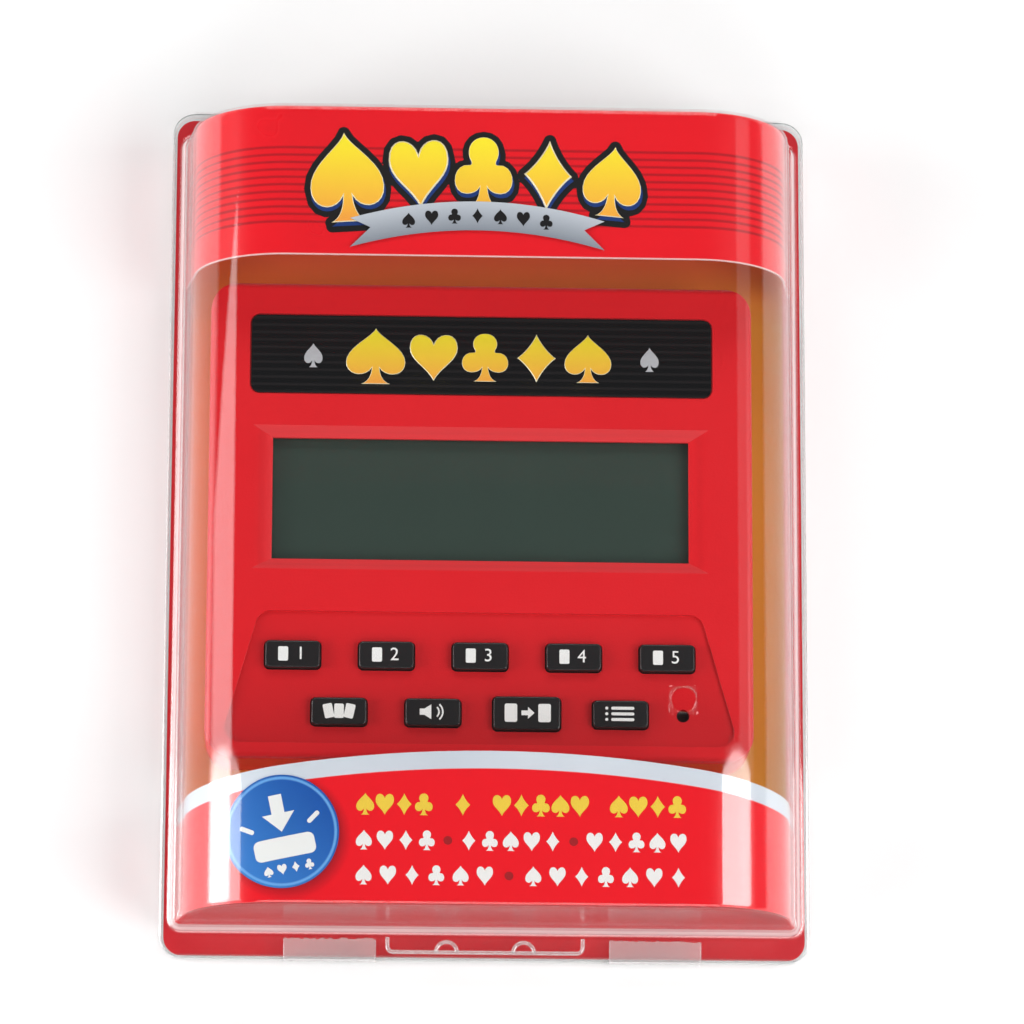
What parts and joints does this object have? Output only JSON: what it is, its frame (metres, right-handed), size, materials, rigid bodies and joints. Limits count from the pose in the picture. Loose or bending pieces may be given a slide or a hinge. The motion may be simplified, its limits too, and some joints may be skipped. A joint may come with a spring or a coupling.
{
  "type": "handheld video poker machine in a hinged display pack",
  "caption": "Handheld electronic card game with a small screen and rows of keys, lying in its clear hinged display pack with printed cards.",
  "frame": {"origin": "centre of the pack's outline, on the surface that the pack's back lies on", "axes": "+X to the right of the machine's face, +Y towards the pack's top edge, +Z out of the machine's face"},
  "size_m": [0.13, 0.1761, 0.0323],
  "materials": {
    "clear_sheet": "clear, glossy, vacuum-formed",
    "orange_card": "glossy print on card, red border",
    "red_card": "glossy red print on card",
    "blue_sticker": "glossy round label with a pale rim",
    "clear_tape": "thin clear adhesive tape",
    "red_plastic": "moulded, fine spark texture",
    "black_plate": "gloss black with gold and silver foil",
    "clear_lens": "clear and polished",
    "lcd_film": "grey-green display film",
    "silver_film": "matt silver film",
    "grey_plastic": "moulded, satin",
    "grey_rubber": "silicone, matt",
    "green_board": "green solder resist",
    "black_resin": "poured resin",
    "tinned_metal": "drawn can, satin",
    "blue_sleeve": "shrunk sleeve",
    "tan_lacquer": "lacquered, colour bands",
    "dark_plastic": "moulded, satin",
    "brass": "satin disc",
    "blue_wire": "insulated wire",
    "red_wire": "insulated wire",
    "cell_jacket": "printed metal jacket, no marks",
    "spring_steel": "nickel-plated spring steel",
    "screw_steel": "zinc-plated",
    "black_rubber": "matt",
    "key_plastic": "moulded near-black, white pad-printed signs"
  },
  "bodies": {
    "pack_and_machine": {"clamshell_back": "clear_sheet", "living_hinge": "clear_sheet", "back_card": "orange_card", "front_housing": "red_plastic", "rear_housing": "red_plastic", "battery_door": "red_plastic", "name_plate": "black_plate", "lcd_lens": "clear_lens", "lcd_polariser": "lcd_film", "lcd_glass": "clear_lens", "lcd_reflector": "silver_film", "lcd_frame": "grey_plastic", "contact_strips": "grey_rubber", "keypad_mat": "grey_rubber", "circuit_board": "green_board", "chip_blob": "black_resin", "crystal": "tinned_metal", "capacitor": "blue_sleeve", "resistors": "tan_lacquer", "reset_switch": "grey_plastic", "buzzer_disc": "brass", "buzzer_wires": "blue_wire", "battery_cells": "cell_jacket", "battery_springs": "spring_steel", "battery_contacts": "spring_steel", "battery_wires": "red_wire", "housing_screws": "screw_steel", "board_screws": "screw_steel", "door_screw": "screw_steel", "rubber_feet": "black_rubber"},
    "front_cover": {"clamshell_front": "clear_sheet", "header_card": "red_card", "lower_card": "red_card", "round_sticker": "blue_sticker", "seal_tape_left": "clear_tape", "seal_tape_right": "clear_tape"},
    "key_hold_1": {"key_hold_1": "key_plastic"},
    "key_hold_2": {"key_hold_2": "key_plastic"},
    "key_hold_3": {"key_hold_3": "key_plastic"},
    "key_hold_4": {"key_hold_4": "key_plastic"},
    "key_hold_5": {"key_hold_5": "key_plastic"},
    "key_game": {"key_game": "key_plastic"},
    "key_sound": {"key_sound": "key_plastic"},
    "key_deal": {"key_deal": "key_plastic"},
    "key_score": {"key_score": "key_plastic"},
    "reset_button": {"reset_button": "dark_plastic"}
  },
  "joints": [
    {"name": "clamshell_hinge", "type": "hinge", "parent": "pack_and_machine", "child": "front_cover", "pos_m": [0, 0.08795, 0.0033], "axis": [-1, 0, 0], "range_deg": [0, 100]},
    {"name": "key_hold_1_press", "type": "slide", "parent": "pack_and_machine", "child": "key_hold_1", "axis": [0, 0, -1], "range_m": [0, 0.0009], "stiffness_N_per_m": 1100, "springref_m": -0.0003},
    {"name": "key_hold_2_press", "type": "slide", "parent": "pack_and_machine", "child": "key_hold_2", "axis": [0, 0, -1], "range_m": [0, 0.0009], "stiffness_N_per_m": 1100, "springref_m": -0.0003},
    {"name": "key_hold_3_press", "type": "slide", "parent": "pack_and_machine", "child": "key_hold_3", "axis": [0, 0, -1], "range_m": [0, 0.0009], "stiffness_N_per_m": 1100, "springref_m": -0.0003},
    {"name": "key_hold_4_press", "type": "slide", "parent": "pack_and_machine", "child": "key_hold_4", "axis": [0, 0, -1], "range_m": [0, 0.0009], "stiffness_N_per_m": 1100, "springref_m": -0.0003},
    {"name": "key_hold_5_press", "type": "slide", "parent": "pack_and_machine", "child": "key_hold_5", "axis": [0, 0, -1], "range_m": [0, 0.0009], "stiffness_N_per_m": 1100, "springref_m": -0.0003},
    {"name": "key_game_press", "type": "slide", "parent": "pack_and_machine", "child": "key_game", "axis": [0, 0, -1], "range_m": [0, 0.0009], "stiffness_N_per_m": 1100, "springref_m": -0.0003},
    {"name": "key_sound_press", "type": "slide", "parent": "pack_and_machine", "child": "key_sound", "axis": [0, 0, -1], "range_m": [0, 0.0009], "stiffness_N_per_m": 1100, "springref_m": -0.0003},
    {"name": "key_deal_press", "type": "slide", "parent": "pack_and_machine", "child": "key_deal", "axis": [0, 0, -1], "range_m": [0, 0.0009], "stiffness_N_per_m": 1100, "springref_m": -0.0003},
    {"name": "key_score_press", "type": "slide", "parent": "pack_and_machine", "child": "key_score", "axis": [0, 0, -1], "range_m": [0, 0.0009], "stiffness_N_per_m": 1100, "springref_m": -0.0003},
    {"name": "reset_press", "type": "slide", "parent": "pack_and_machine", "child": "reset_button", "axis": [0, 0, -1], "range_m": [0, 0.00035], "stiffness_N_per_m": 2500, "springref_m": -0.0001}
  ]
}
